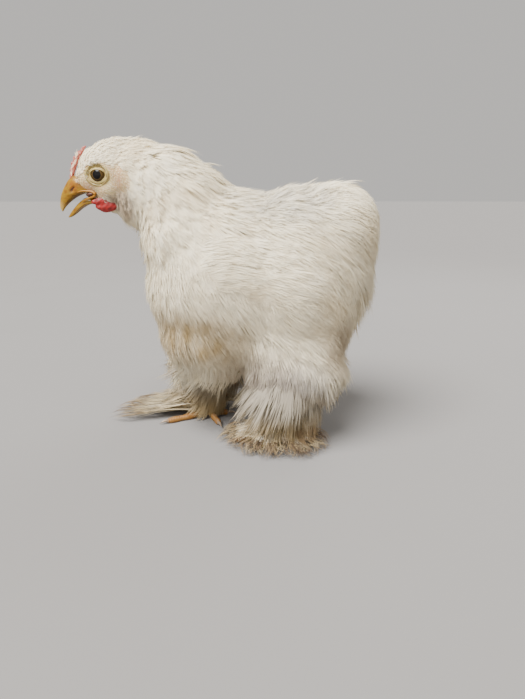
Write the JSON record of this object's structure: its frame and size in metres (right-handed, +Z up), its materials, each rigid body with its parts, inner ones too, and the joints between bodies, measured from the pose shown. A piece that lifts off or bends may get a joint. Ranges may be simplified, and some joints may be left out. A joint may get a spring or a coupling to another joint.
{
  "type": "cochin bantam chicken",
  "caption": "Life-size still white bantam hen with feathered feet, short comb, open bill and a rounded feather cushion for a tail.",
  "frame": {"origin": "On the floor under the middle of the bird's bounding box.", "axes": "+Z up, -Y the way the bird faces, +X her left side."},
  "size_m": [0.1355, 0.225, 0.211],
  "materials": {
    "plumage": "soft matt white feathers with a cream cast",
    "face_skin": "bare wrinkled skin, cream to pink",
    "bill": "smooth yellow horn",
    "comb": "soft pink red skin",
    "wattle": "soft pebbled red skin",
    "eye": "wet glossy brown eye",
    "toes": "scaled orange yellow skin",
    "claws": "dark horn"
  },
  "bodies": {
    "root": {"head": "face_skin", "comb": "comb", "wattle_left": "wattle", "wattle_right": "wattle", "eye_left": "eye", "eye_right": "eye", "bill_upper": "bill", "bill_lower": "bill", "neck": "plumage", "torso": "plumage", "tail": "plumage", "wing_left": "plumage", "wing_right": "plumage", "thigh_left": "plumage", "thigh_right": "plumage", "foot_left": "toes", "foot_right": "toes", "claw_middle_left": "claws", "claw_inner_left": "claws", "claw_outer_left": "claws", "claw_hind_left": "claws", "claw_middle_right": "claws", "claw_inner_right": "claws", "claw_outer_right": "claws", "claw_hind_right": "claws"}
  },
  "joints": []
}
